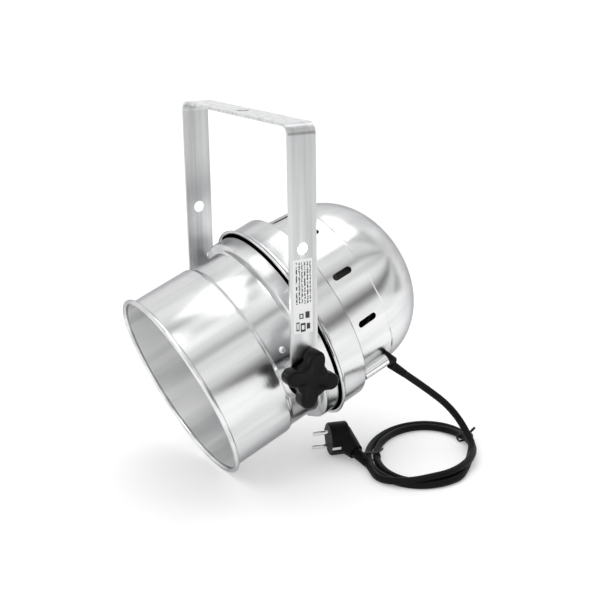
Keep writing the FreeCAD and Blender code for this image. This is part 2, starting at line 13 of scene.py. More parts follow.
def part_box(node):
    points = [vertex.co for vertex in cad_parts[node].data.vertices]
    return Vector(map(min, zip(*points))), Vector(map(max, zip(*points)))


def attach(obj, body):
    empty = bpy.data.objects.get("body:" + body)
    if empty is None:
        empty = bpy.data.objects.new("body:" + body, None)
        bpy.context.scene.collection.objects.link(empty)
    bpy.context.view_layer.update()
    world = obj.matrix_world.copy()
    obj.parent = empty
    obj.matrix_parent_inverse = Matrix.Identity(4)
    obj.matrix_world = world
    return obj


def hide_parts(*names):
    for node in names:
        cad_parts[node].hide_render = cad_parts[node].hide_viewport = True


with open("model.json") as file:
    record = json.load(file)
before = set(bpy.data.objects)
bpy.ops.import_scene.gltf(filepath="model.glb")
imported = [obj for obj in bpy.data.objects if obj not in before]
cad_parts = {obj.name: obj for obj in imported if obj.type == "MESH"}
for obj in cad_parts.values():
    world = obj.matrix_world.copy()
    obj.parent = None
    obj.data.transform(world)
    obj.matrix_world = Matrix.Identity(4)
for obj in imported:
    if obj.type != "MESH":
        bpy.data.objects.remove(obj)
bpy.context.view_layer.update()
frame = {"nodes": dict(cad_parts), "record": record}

MM = 0.001
TILT = math.radians(22.8)
PIVOT = Vector((0, 0, -0.250))
FLOOR_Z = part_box("cord_coil")[0][2]
HEAD = Matrix.Translation(PIVOT) @ Matrix.Rotation(TILT, 4, "X")
TURNS = 320                      # facets round a spun shell

# outlines of the spun shells' outsides, front to back, as (station, radius) in mm
BARREL_PATH = [(88, 102.6), (21.5, 102.6), (19.5, 102.2), (18, 101), (16.6, 99.9), (15, 99.5),
               (-17.2, 99.5), (-18.6, 100), (-19.4, 101.4), (-19.5, 103.5), (-19.5, 106.5), (-20.2, 108.6),
               (-21.6, 109.8), (-23.5, 110), (-36.5, 110)]
HOUSING_PATH = [(-39.6, 112.6), (-38.9, 113), (-38.5, 114.3), (-38.7, 115.5), (-39.5, 116.1), (-40.6, 116),
                (-41.8, 114.9), (-43, 112.9), (-44.4, 112.1),
                (-46, 112), (-70.5, 112), (-72, 111.7), (-73.2, 110.4), (-73.8, 108), (-73.9, 103.5),
                (-74.3, 101.8), (-75.4, 101), (-77, 100.9), (-118.2, 98)]
SEAM, DOME_DEPTH, DOME_R = -118.2, 76.8, 98.0
SLOTS, CONDUIT_PLACE = 11, 10
SLOT_S, SLOT_L, SLOT_W = -95.5, 23.5, 7.6

CORD_R = 0.004
CORD_ROUTE = [(0.084, 0.147, -0.2887), (0.0845, 0.164, -0.302), (0.086, 0.181, -0.316),
              (0.089, 0.197, -0.330), (0.094, 0.208, -0.3435), (0.101, 0.2145, -0.3565),
              (0.111, 0.216, -0.3675), (0.123, 0.2135, -0.375)]
COIL_C, COIL_A, COIL_B, COIL_TURN = Vector((0.0966, 0.1637)), 0.0796, 0.0562, math.radians(-42)
TURNS_OF_CORD = 2.30
CORD_EXIT_WAY = Vector((0, 0.783, -0.622))
CORD_RELIEF_L = 0.0246
NECK_AT = Vector((0.068, 0.094, FLOOR_Z + 0.0095))        # the plug's neck ends and its strain relief begins
PLUG_CORD_AT = Vector((0.093, 0.094, FLOOR_Z + 0.0048))   # the strain relief ends at the cord
# each tie: angle on the oval, half width, height, and the side of its tail
TIES = [(131, 0.0088, 0.0086, 1), (-74, 0.0092, 0.0088, -1)]

VIEW_AZIMUTH, VIEW_ELEVATION, VIEW_ROLL = (math.radians(a) for a in (60.95, 16.4, -0.82))
# the sky's grey at each angle round the can's axis, in degrees counted from +X towards the can's top
SKY_BANDS = [(-178, 0.8), (-150, 0.9), (-120, 0.7), (-95, 0.5), (-70, 0.85), (-58, 0.3), (-48, 0.75),
             (-40, 0.12), (-33, 0.95), (-24, 0.7), (-16, 0.9), (-9, 0.35), (-3, 0.1), (4, 0.45),
             (10, 0.8), (20, 1.0), (28, 0.75), (36, 0.9), (42, 0.45), (50, 0.85), (62, 1.0),
             (74, 0.6), (82, 0.85), (92, 0.45), (100, 0.75), (120, 0.95), (150, 0.85)]


# ---- shader helpers -----------------------------------------------------------------------------
def material(name, color, metallic=0.0, roughness=0.5, **sockets):
    """A principled material. Returns the material, its nodes, links and principled node."""
    made = bpy.data.materials.new(name)
    made.use_nodes = True
    nodes, links = made.node_tree.nodes, made.node_tree.links
    shader = nodes["Principled BSDF"]
    shader.inputs["Base Color"].default_value = (*color, 1)
    shader.inputs["Metallic"].default_value = metallic
    shader.inputs["Roughness"].default_value = roughness
    for socket, value in sockets.items():
        shader.inputs[socket.replace("_", " ")].default_value = value
    return made, nodes, links, shader


def ramp(nodes, low, high, at):
    """A change from one colour to another between two positions."""
    node = nodes.new("ShaderNodeValToRGB")
    first, last = node.color_ramp.elements
    first.position, last.position = at
    first.color, last.color = (*low, 1), (*high, 1)
    return node


def noise_in(nodes, links, scale, stretch=(1, 1, 1), detail=4, in_head=False):
    """Noise over object coordinates, stretched per axis, in the head's frame if asked."""
    coords = nodes.new("ShaderNodeTexCoord")
    mapping = nodes.new("ShaderNodeMapping")
    mapping.inputs["Scale"].default_value = stretch
    source = coords.outputs["Object"]
    if in_head:
        source = in_head_frame(nodes, links, source)
    links.new(source, mapping.inputs["Vector"])
    noise = nodes.new("ShaderNodeTexNoise")
    noise.inputs["Scale"].default_value = scale
    noise.inputs["Detail"].default_value = detail
    links.new(mapping.outputs["Vector"], noise.inputs["Vector"])
    return noise


def in_head_frame(nodes, links, source):
    """Object coordinates turned and shifted so that Y runs along the can's axis."""
    shift = nodes.new("ShaderNodeVectorMath")
    shift.operation = "SUBTRACT"
    shift.inputs[1].default_value = PIVOT
    links.new(source, shift.inputs[0])
    turn = nodes.new("ShaderNodeVectorRotate")
    turn.rotation_type = "X_AXIS"
    turn.inputs["Angle"].default_value = -TILT
    links.new(shift.outputs[0], turn.inputs["Vector"])
    return turn.outputs[0]


def bump(nodes, links, shader, height, strength, distance):
    """Relief from a height pattern."""
    node = nodes.new("ShaderNodeBump")
    node.inputs["Strength"].default_value = strength
    node.inputs["Distance"].default_value = distance
    links.new(height, node.inputs["Height"])
    links.new(node.outputs["Normal"], shader.inputs["Normal"])


# ---- materials ----------------------------------------------------------------------------------
def spun_aluminium(name, base, roughness, ring_strength):
    """Polished sheet with faint rings from spinning, long streaks and slow unevenness in its polish."""
    made, nodes, links, shader = material(name, base, 1.0, roughness, Specular_Tint=(0.45, 0.45, 0.46, 1))
    coords = nodes.new("ShaderNodeTexCoord")
    along = nodes.new("ShaderNodeSeparateXYZ")
    links.new(in_head_frame(nodes, links, coords.outputs["Object"]), along.inputs[0])
    rings = nodes.new("ShaderNodeTexNoise")
    rings.noise_dimensions = "1D"
    rings.inputs["Scale"].default_value = 620
    rings.inputs["Detail"].default_value = 5
    links.new(along.outputs["Y"], rings.inputs["W"])
    dull = noise_in(nodes, links, 9, (1, 0.25, 1), 3, in_head=True)
    mix = nodes.new("ShaderNodeMapRange")
    mix.inputs["From Min"].default_value = 0.3
    mix.inputs["From Max"].default_value = 0.75
    mix.inputs["To Min"].default_value = roughness * 0.75
    mix.inputs["To Max"].default_value = roughness * 1.5
    links.new(dull.outputs["Fac"], mix.inputs["Value"])
    links.new(mix.outputs[0], shader.inputs["Roughness"])
    streaks = noise_in(nodes, links, 38, (1, 0.09, 1), 4, in_head=True)
    tone = ramp(nodes, [c * 0.84 for c in base], [min(c * 1.1, 1) for c in base], (0.35, 0.68))
    links.new(streaks.outputs["Fac"], tone.inputs["Fac"])
    links.new(tone.outputs["Color"], shader.inputs["Base Color"])
    bump(nodes, links, shader, rings.outputs["Fac"], ring_strength, 0.0002)
    shader.inputs["Anisotropic"].default_value = 0.55
    shader.inputs["Anisotropic Rotation"].default_value = 0.25
    links.new(groove_direction(nodes, links, along), shader.inputs["Tangent"])
    return made


def groove_direction(nodes, links, along):
    """The way the spinning grooves run: round the can's axis."""
    flip = nodes.new("ShaderNodeMath")
    flip.operation = "MULTIPLY"
    flip.inputs[1].default_value = -1
    links.new(along.outputs["X"], flip.inputs[0])
    joined = nodes.new("ShaderNodeCombineXYZ")
    links.new(along.outputs["Z"], joined.inputs["X"])
    links.new(flip.outputs[0], joined.inputs["Z"])
    turn = nodes.new("ShaderNodeVectorRotate")
    turn.rotation_type = "X_AXIS"
    turn.inputs["Angle"].default_value = TILT
    links.new(joined.outputs[0], turn.inputs["Vector"])
    to_world = nodes.new("ShaderNodeVectorTransform")
    to_world.convert_from, to_world.convert_to = "OBJECT", "WORLD"
    links.new(turn.outputs[0], to_world.inputs[0])
    return to_world.outputs[0]


def brushed_strip():
    """Extruded strip, brushed lengthwise."""
    made, nodes, links, shader = material("brushed_strip", (0.62, 0.63, 0.64), 1.0, 0.3)
    grain = noise_in(nodes, links, 900, (1, 1, 0.012), 4)
    broad = noise_in(nodes, links, 120, (1, 1, 0.03), 3)
    tone = ramp(nodes, (0.50, 0.505, 0.51), (0.78, 0.785, 0.79), (0.3, 0.75))
    links.new(broad.outputs["Fac"], tone.inputs["Fac"])
    links.new(tone.outputs["Color"], shader.inputs["Base Color"])
    bump(nodes, links, shader, grain.outputs["Fac"], 0.22, 0.0003)
    return made


def satin_metal(name, base, roughness):
    """Turned or plated metal with a soft, slightly cloudy shine."""
    made, nodes, links, shader = material(name, base, 1.0, roughness)
    cloud = noise_in(nodes, links, 60, (1, 1, 1), 4)
    spread = nodes.new("ShaderNodeMapRange")
    spread.inputs["To Min"].default_value = roughness * 0.75
    spread.inputs["To Max"].default_value = roughness * 1.35
    links.new(cloud.outputs["Fac"], spread.inputs["Value"])
    links.new(spread.outputs[0], shader.inputs["Roughness"])
    bump(nodes, links, shader, cloud.outputs["Fac"], 0.06, 0.0004)
    return made


def barrel_inside():
    """Inside of the barrel: duller than the outside, with long soft streaks."""
    made, nodes, links, shader = material("barrel_inside", (0.9, 0.905, 0.91), 0.6, 0.3)
    cloud = noise_in(nodes, links, 24, (1, 0.12, 1), 5, in_head=True)
    tone = ramp(nodes, (0.64, 0.645, 0.65), (1, 1, 1), (0.36, 0.62))
    links.new(cloud.outputs["Fac"], tone.inputs["Fac"])
    links.new(tone.outputs["Color"], shader.inputs["Base Color"])
    grain = noise_in(nodes, links, 260, (1, 6, 1), 3, in_head=True)
    bump(nodes, links, shader, grain.outputs["Fac"], 0.1, 0.0004)
    return made


def moulded(name, base, roughness, grain=0.05, coat=0.0, scale=700, specular=0.5):
    """Moulded plastic or rubber with a fine skin."""
    made, nodes, links, shader = material(name, base, 0.0, roughness, Coat_Weight=coat, Coat_Roughness=0.08,
                                          Specular_IOR_Level=specular)
    skin = noise_in(nodes, links, scale, (1, 1, 1), 3)
    cloud = noise_in(nodes, links, 40, (1, 1, 1), 3)
    spread = nodes.new("ShaderNodeMapRange")
    spread.inputs["To Min"].default_value = roughness * 0.8
    spread.inputs["To Max"].default_value = min(roughness * 1.3, 1)
    links.new(cloud.outputs["Fac"], spread.inputs["Value"])
    links.new(spread.outputs[0], shader.inputs["Roughness"])
    bump(nodes, links, shader, skin.outputs["Fac"], grain, 0.0005)
    return made


def pressed_glass():
    """Lens glass with a pattern of small cells pressed into it."""
    made, nodes, links, shader = material("pressed_glass", (0.93, 0.96, 0.97), 0.0, 0.04,
                                          Transmission_Weight=1.0, IOR=1.5)
    cells = nodes.new("ShaderNodeTexVoronoi")
    cells.inputs["Scale"].default_value = 160
    coords = nodes.new("ShaderNodeTexCoord")
    links.new(coords.outputs["Object"], cells.inputs["Vector"])
    bump(nodes, links, shader, cells.outputs["Distance"], 0.35, 0.001)
    return made


def mirror_with_painted_shade_back():
    """The reflector: silvered inside, with its back painted near black as painted shade.

    The side is told by which way the face looks at the rest tilt. With the head far from rest, part of the
    inside turns dark too.
    """
    made, nodes, links, shader = material("lamp_mirror", (0.88, 0.88, 0.87), 1.0, 0.06)
    cloud = noise_in(nodes, links, 30, (1, 1, 1), 3)
    bump(nodes, links, shader, cloud.outputs["Fac"], 0.05, 0.0005)
    geometry = nodes.new("ShaderNodeNewGeometry")
    rearward = nodes.new("ShaderNodeVectorMath")
    rearward.operation = "DOT_PRODUCT"
    rearward.inputs[1].default_value = (0, math.cos(TILT), math.sin(TILT))
    links.new(geometry.outputs["Normal"], rearward.inputs[0])
    # painted shade: faces that look rearward at the rest tilt turn near black
    tone = ramp(nodes, (0.88, 0.88, 0.87), (0.01, 0.01, 0.011), (0.0, 0.06))
    links.new(rearward.outputs["Value"], tone.inputs["Fac"])
    links.new(tone.outputs["Color"], shader.inputs["Base Color"])
    return made


def striped_earth():
    """Green sleeve with yellow stripes."""
    made, nodes, links, shader = material("earth_sleeve", (0.3, 0.5, 0.05), 0.0, 0.4)
    wave = nodes.new("ShaderNodeTexWave")
    wave.inputs["Scale"].default_value = 60.0
    tone = ramp(nodes, (0.06, 0.3, 0.05), (0.75, 0.6, 0.03), (0.45, 0.55))
    links.new(wave.outputs["Fac"], tone.inputs["Fac"])
    links.new(tone.outputs["Color"], shader.inputs["Base Color"])
    return made


def printed_label():
    """Silvery film with generic rows of dashes, boxes and blocks, printed in dark grey."""
    made, nodes, links, shader = material("printed_label", (0.78, 0.78, 0.78), 0.15, 0.38)
    low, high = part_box("rating_label")
    coords = nodes.new("ShaderNodeTexCoord")
    place = nodes.new("ShaderNodeMapping")
    place.vector_type = "POINT"
    place.inputs["Location"].default_value = (0, -low[1] / (high[1] - low[1]), -low[2] / (high[2] - low[2]))
    place.inputs["Scale"].default_value = (1, 1 / (high[1] - low[1]), 1 / (high[2] - low[2]))
    links.new(coords.outputs["Object"], place.inputs["Vector"])
    split = nodes.new("ShaderNodeSeparateXYZ")
    links.new(place.outputs[0], split.inputs[0])
    across, up = split.outputs["Y"], split.outputs["Z"]

    def calc(operation, a, b):
        node = nodes.new("ShaderNodeMath")
        node.operation = operation
        for socket, value in zip(node.inputs, (a, b)):
            if isinstance(value, (int, float)):
                socket.default_value = value
            else:
                links.new(value, socket)
        return node.outputs[0]

    def within(value, start, end):
        return calc("MULTIPLY", calc("GREATER_THAN", value, start), calc("LESS_THAN", value, end))

    def rect(y0, y1, z0, z1):
        return calc("MULTIPLY", within(across, y0, y1), within(up, z0, z1))

    # rows that run up the label, broken into short dashes
    dashes = nodes.new("ShaderNodeTexNoise")
    stretched = nodes.new("ShaderNodeMapping")
    stretched.inputs["Scale"].default_value = (0, 9, 46)
    links.new(place.outputs[0], stretched.inputs["Vector"])
    links.new(stretched.outputs[0], dashes.inputs["Vector"])
    dashes.inputs["Scale"].default_value = 1.0
    dashes.inputs["Detail"].default_value = 0
    column = calc("LESS_THAN", calc("FRACT", calc("MULTIPLY", across, 7.0), 0.0), 0.5)
    rows = calc("MULTIPLY", column, calc("GREATER_THAN", dashes.outputs["Fac"], 0.44))
    ink = calc("MULTIPLY", rows, rect(0.1, 0.92, 0.40, 0.96))
    for block in ((0.14, 0.30, 0.04, 0.16), (0.36, 0.62, 0.02, 0.14), (0.68, 0.86, 0.05, 0.13),
                  (0.30, 0.52, 0.20, 0.27), (0.62, 0.84, 0.20, 0.29)):
        ink = calc("MAXIMUM", ink, rect(*block))
    for hole in ((0.18, 0.26, 0.06, 0.14), (0.42, 0.56, 0.05, 0.11), (0.36, 0.46, 0.215, 0.255)):
        ink = calc("MULTIPLY", ink, calc("SUBTRACT", 1.0, rect(*hole)))
    mix = nodes.new("ShaderNodeMix")
    mix.data_type = "RGBA"
    links.new(ink, mix.inputs["Factor"])
    mix.inputs["A"].default_value = (0.84, 0.84, 0.84, 1)
    mix.inputs["B"].default_value = (0.03, 0.03, 0.032, 1)
    links.new(mix.outputs["Result"], shader.inputs["Base Color"])
    return made


M = {
    "polished": spun_aluminium("polished_aluminium", (0.82, 0.824, 0.828), 0.18, 0.3),
    "dome": spun_aluminium("polished_dome", (0.79, 0.794, 0.798), 0.2, 0.35),
    "inside": barrel_inside(),
    # insides of the housing and the dome: near black with almost no shine, painted shade for the dark inside
    # the closed can
    "shaded_inside": moulded("painted_shade_inside", (0.006, 0.006, 0.006), 0.7, 0.1, specular=0.03),
    "brushed": brushed_strip(),
    "label": printed_label(),
    "satin": satin_metal("satin_aluminium", (0.75, 0.755, 0.76), 0.28),
    "steel": satin_metal("zinc_steel", (0.55, 0.55, 0.56), 0.25),
    "rubber": moulded("black_rubber", (0.004, 0.004, 0.0042), 0.5, 0.1, specular=0.12),
    "gloss": moulded("knob_plastic", (0.002, 0.002, 0.0022), 0.24, 0.03, specular=0.14),
    "plug": moulded("plug_plastic", (0.003, 0.003, 0.0032), 0.45, 0.08, specular=0.12),
    "tie": moulded("cord_tie", (0.003, 0.003, 0.0032), 0.4, 0.03, specular=0.15),
    "glass": pressed_glass(),
    "mirror": mirror_with_painted_shade_back(),
    "ceramic": moulded("ceramic", (0.80, 0.77, 0.70), 0.25, 0.03, 0.4, 300),
    "brass": satin_metal("brass", (0.72, 0.54, 0.22), 0.25),
    "sleeve": moulded("glass_sleeve", (0.72, 0.69, 0.60), 0.75, 0.5, 0.0, 900),
    "earth": striped_earth(),
    "nickel": satin_metal("nickel", (0.78, 0.77, 0.75), 0.14),
}

SLOT_LOOK = {
    "brushed_aluminium": "brushed", "label": "label", "steel": "steel", "polished_aluminium": "polished",
    "aluminium": "satin", "black_rubber": "rubber", "lamp_glass": "glass", "lamp_mirror": "mirror",
    "ceramic": "ceramic", "brass": "brass", "lead_sleeve": "sleeve", "earth_sleeve": "earth",
    "cord_tie": "tie", "plug_plastic": "plug", "plug_metal": "nickel", "knob_plastic": "gloss",
}


def dress_cad_nodes():
    """Every CAD node gets its slot's material and a hairline bevel that catches the light."""
    slots = {s["node"]: s["material_slot"] for s in frame["record"]["subparts"]}
    for name, node in frame["nodes"].items():
        node.data.materials.clear()
        node.data.materials.append(M[SLOT_LOOK[slots[name]]])
        edge = node.modifiers.new("edge", "BEVEL")
        edge.width = 0.0006 if name == "yoke" else 0.00025
        edge.segments = 3
        edge.limit_method = "ANGLE"
        edge.angle_limit = math.radians(35)
        edge.harden_normals = True


# ---- mesh helpers -------------------------------------------------------------------------------
def mesh_object(name, points, faces, look, inside=None, inner_faces=()):
    """A smooth-shaded mesh with its normals outwards. The inner faces take the inside material."""
    mesh = bpy.data.meshes.new(name)
    mesh.from_pydata([tuple(p) for p in points], [], faces)
    mesh.materials.append(M[look])
    if inside:
        mesh.materials.append(M[inside])
        for i in inner_faces:
            mesh.polygons[i].material_index = 1
    work = bmesh.new()
    work.from_mesh(mesh)
    bmesh.ops.recalc_face_normals(work, faces=work.faces)
    work.to_mesh(mesh)
    work.free()
    mesh.shade_smooth()
    made = bpy.data.objects.new(name, mesh)
    bpy.context.scene.collection.objects.link(made)
    return made


def lathe(name, outline, look, inside, inner_faces_of, around=TURNS):
    """Closed shell turned about the head's axis from a loop of (station, radius) in mm.

    Faces whose span of the loop is in inner_faces_of take the inside material.
    """
    points, faces, inner = [], [], []
    for s, r in outline:
        for k in range(around):
            a = 2 * math.pi * k / around
            points.append(HEAD @ (Vector((r * math.cos(a), -s, r * math.sin(a))) * MM))
    for i in range(len(outline)):
        j = (i + 1) % len(outline)
        for k in range(around):
            n = (k + 1) % around
            if i in inner_faces_of:
                inner.append(len(faces))
            faces.append((i * around + k, i * around + n, j * around + n, j * around + k))
    made = mesh_object(name, points, faces, look, inside=inside, inner_faces=inner)
    made.data.set_sharp_from_angle(angle=math.radians(28))
    return made


def inward(path, depth):
    """The path moved towards the axis, with mitred corners."""
    normals = []
    for (s0, r0), (s1, r1) in zip(path, path[1:]):
        length = math.hypot(s1 - s0, r1 - r0)
        normals.append(((r0 - r1) / length, (s1 - s0) / length))
    out = []
    for i, (s, r) in enumerate(path):
        a, b = normals[max(i - 1, 0)], normals[min(i, len(normals) - 1)]
        k = depth / (1 + a[0] * b[0] + a[1] * b[1])
        out.append((s + k * (a[0] + b[0]), r + k * (a[1] + b[1])))
    return out


# ---- spun shells --------------------------------------------------------------------------------
def barrel():
    """Barrel, neck and collar, with the rolled rim as one round bead."""
    bead_r, bead_s, bead = 104.6, 91.2, 2.8
    outer = BARREL_PATH
    roll = [(bead_s + bead * math.sin(math.radians(a)), bead_r + bead * math.cos(math.radians(a)))
            for a in range(-75, 196, 18)]
    outline = roll[::-1] + [(89, 101.7)] + inward(outer, 0.9)[1:] + outer[::-1]
    inner = range(len(roll) - 1, len(roll) + len(outer) - 1)
    return lathe("barrel_spun", outline, "polished", "inside", inner)


def dome():
    """End cap, a little blunter than an ellipse, with its skirt inside the housing."""
    def quarter(depth, radius, steps=40):
        angles = [math.radians(90 / steps * i) for i in range(steps)]
        return ([(SEAM - depth * math.sin(a), radius * math.cos(a) ** 0.9) for a in angles] +
                [(SEAM - depth, 0.05)])

    outer, inner = quarter(DOME_DEPTH, DOME_R), quarter(DOME_DEPTH - 1, DOME_R - 2)
    skirt = [(SEAM + 8, 96.1), (SEAM + 8, 96.9)]
    lip = [(SEAM + 0.1, 97.5), (SEAM - 0.4, 97.5), (SEAM - 0.8, 97.75), (SEAM - 1.3, 97.95)]
    start = len(lip) + len(outer) - 2
    outline = lip + outer[1:] + inner[::-1] + skirt
    return lathe("dome_spun", outline, "dome", "shaded_inside", range(start, len(outline)))


def housing():
    """Stepped housing with its slots cut through the rear wall."""
    outer = HOUSING_PATH
    outline = outer + inward(outer, 1.0)[::-1]
    shell = lathe("housing_spun", outline, "polished", "shaded_inside", range(len(outer) - 1, len(outline)),
                  around=32 * SLOTS)
    every_point, every_face = [], []
    for place in range(SLOTS):
        if place == CONDUIT_PLACE:
            continue
        angle = 2 * math.pi / SLOTS * place
        half, r = (SLOT_L - SLOT_W) / 2, SLOT_W / 2
        ring = [(SLOT_S + half * (1 if math.sin(t) >= 0 else -1) + r * math.sin(t), r * math.cos(t))
                for t in (2 * math.pi * (k + 0.5) / 24 for k in range(24))]
        start = len(every_point)
        for depth in (92, 108):
            for s, w in ring:
                local = Vector((depth * math.cos(angle) - w * math.sin(angle), -s,
                                depth * math.sin(angle) + w * math.cos(angle)))
                every_point.append(HEAD @ (local * MM))
        n = len(ring)
        faces = [tuple(range(n)), tuple(range(2 * n - 1, n - 1, -1))]
        faces += [(k, n + k, n + (k + 1) % n, (k + 1) % n) for k in range(n)]
        every_face += [tuple(i + start for i in face) for face in faces]
    tool = mesh_object("slot_tool", every_point, every_face, "polished")
    cut = shell.modifiers.new("slots", "BOOLEAN")
    cut.operation = "DIFFERENCE"
    cut.solver = "EXACT"
    cut.object = tool
    bpy.context.view_layer.update()
    baked = bpy.data.meshes.new_from_object(shell.evaluated_get(bpy.context.evaluated_depsgraph_get()))
    shell.modifiers.clear()
    shell.data = baked
    bpy.data.objects.remove(tool)
    wall_normals(shell)
    return shell


def wall_normals(shell):
    """Exact normals on the straight rear wall, so that the cut faces round the slots don't show."""
    mesh = shell.data
    to_head = HEAD.inverted()
    (front_s, front_r), (back_s, back_r) = HOUSING_PATH[-2:]
    slope = (front_r - back_r) / (front_s - back_s)
    normals = [Vector(c.vector) for c in mesh.corner_normals]
    for face in mesh.polygons:
        middle = to_head @ face.center
        wall = Vector((middle.x, 0, middle.z)).normalized()
        turned = to_head.to_3x3() @ face.normal
        if middle.y < -front_s * MM or abs(turned.normalized().dot(wall)) < 0.8:
            continue
        side = 1 if turned.dot(wall) > 0 else -1
        for loop in face.loop_indices:
            point = to_head @ mesh.vertices[mesh.loops[loop].vertex_index].co
            exact = Vector((point.x, 0, point.z)).normalized() + Vector((0, slope, 0))
            normals[loop] = HEAD.to_3x3() @ (exact.normalized() * side)
    mesh.normals_split_custom_set([tuple(n) for n in normals])


# ---- knobs --------------------------------------------------------------------------------------
def knob(side):
    """Four-lobed moulded knob: a smooth star outline, a rolled edge and a slightly dished face."""
    sign = 1 if side == "near" else -1
    low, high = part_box(f"knob_{side}")
    base = low[0] if sign > 0 else high[0]
    thick = (high[0] - low[0]) / MM
    around, lobes, phase = 180, 4, -14
    reach, lobe, core = 21.5, 8.6, 18.2          # lobe's centre and radius, and the body between the lobes
    back_roll, front_roll = 2.2, 3.2

    def star(angle):
        """The outline's distance from the middle."""
        best = 0.0
        for k in range(lobes):
            off = angle - math.radians(phase + 360 / lobes * k)
            if math.cos(off) > 0 and abs(reach * math.sin(off)) < lobe:
                tip = reach * math.cos(off) + math.sqrt(lobe ** 2 - (reach * math.sin(off)) ** 2)
                best = max(best, tip)
            if math.cos(off) > 0:
                best = max(best, min(lobe / max(abs(math.sin(off)), 1e-6), reach))
        return (best ** 14 + core ** 14) ** (1 / 14)

    outline = [star(2 * math.pi * k / around) for k in range(around)]
    for _ in range(5):
        outline = [0.25 * outline[k - 1] + 0.5 * outline[k] + 0.25 * outline[(k + 1) % around]
                   for k in range(around)]
    grow = 29.9 / max(outline)
    # each ring: distance from the back, then either a shift of the outline or a plain radius
    rings = [(0.0, None, 12.0), (0.0, None, 20.9), (0.6, None, 21.0), (1.5, None, 20.8)]
    for a in range(0, 91, 15):
        c, s = math.cos(math.radians(a)), math.sin(math.radians(a))
        rings.append((1.5 + back_roll * (1 - c), -back_roll * (1 - s), None))
    rings += [(8.0, 0.0, None), (thick - front_roll, 0.0, None)]
    for a in range(15, 91, 15):
        c, s = math.cos(math.radians(a)), math.sin(math.radians(a))
        rings.append((thick - front_roll + front_roll * s, -front_roll * (1 - c), None))
    face = [(thick - 0.3, 0.80), (thick - 1.0, 0.6), (thick - 1.5, 0.35), (thick - 1.6, 0.1)]
    points, faces = [], []

    def put(x, radius, k):
        a = 2 * math.pi * k / around
        points.append(Vector((base + sign * x * MM, radius * MM * math.cos(a),
                              PIVOT.z + radius * MM * math.sin(a))))

    for x, shift, radius in rings:
        for k in range(around):
            put(x, radius if shift is None else outline[k] * grow + shift, k)
    for x, scale in face:
        for k in range(around):
            put(x, (outline[k] * grow - front_roll) * scale, k)
    count = len(rings) + len(face)
    for i in range(count - 1):
        for k in range(around):
            n = (k + 1) % around
            quad = (i * around + k, i * around + n, (i + 1) * around + n, (i + 1) * around + k)
            faces.append(quad if sign > 0 else quad[::-1])
    cap = tuple(range((count - 1) * around, count * around))
    back = tuple(range(around))
    faces += [cap if sign > 0 else cap[::-1], back[::-1] if sign > 0 else back]
    made = mesh_object(f"knob_{side}_moulded", points, faces, "gloss")
    made.data.set_sharp_from_angle(angle=math.radians(50))
    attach(made, f"knob_{side}")
    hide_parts(f"knob_{side}")


# ---- mains cord ---------------------------------------------------------------------------------
def oval_point(turn, out, height):
    """A point of the coil: turn counted in full turns clockwise seen from above, out from the middle line."""
    a = math.radians(84) - 2 * math.pi * turn
    x, y = (COIL_A + out) * math.cos(a), (COIL_B + out) * math.sin(a)
    c, s = math.cos(COIL_TURN), math.sin(COIL_TURN)
    return Vector((COIL_C.x + x * c - y * s, COIL_C.y + x * s + y * c, FLOOR_Z + CORD_R + height))


def share_of(t, start, end):
    """How far t has come from start to end, from 0 to 1."""
    return min(max((t - start) / (end - start), 0), 1)


def cord_points():
    """The free stretch, then turns that lie beside and on each other, then the run to the plug."""
    points = [Vector(p) for p in CORD_ROUTE]
    steps = int(TURNS_OF_CORD * 20)
    for i in range(1, steps + 1):
        t = TURNS_OF_CORD * i / steps
        inner, top, down = (share_of(t, *span) for span in ((0.84, 1.0), (1.78, 1.98), (2.16, 2.3)))
        out = 0.0042 - 0.0084 * inner + 0.0042 * top + 0.0125 * down
        wander = 0.0006 * math.sin(7.3 * t) + 0.0004 * math.sin(17.1 * t + 1)
        points.append(oval_point(0.03 + t, out + wander, 0.0071 * (top - down)))
    return points + [Vector((0.101, 0.0925, FLOOR_Z + CORD_R)), PLUG_CORD_AT]


def cord():
    """The whole mains cord outside the can, as one round curve."""
    points = cord_points()
    curve = bpy.data.curves.new("mains_cord", "CURVE")
    curve.dimensions = "3D"
    spline = curve.splines.new("NURBS")
    spline.points.add(len(points) - 1)
    for control, point in zip(spline.points, points):
        control.co = (*point, 1)
    spline.order_u = 3
    spline.use_endpoint_u = True
    spline.resolution_u = 8
    curve.bevel_depth = CORD_R
    curve.bevel_resolution = 8
    curve.materials.append(M["rubber"])
    made = bpy.data.objects.new("mains_cord", curve)
    bpy.context.scene.collection.objects.link(made)
    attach(made, "head")
    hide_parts("power_cord", "cord_coil")
    return made


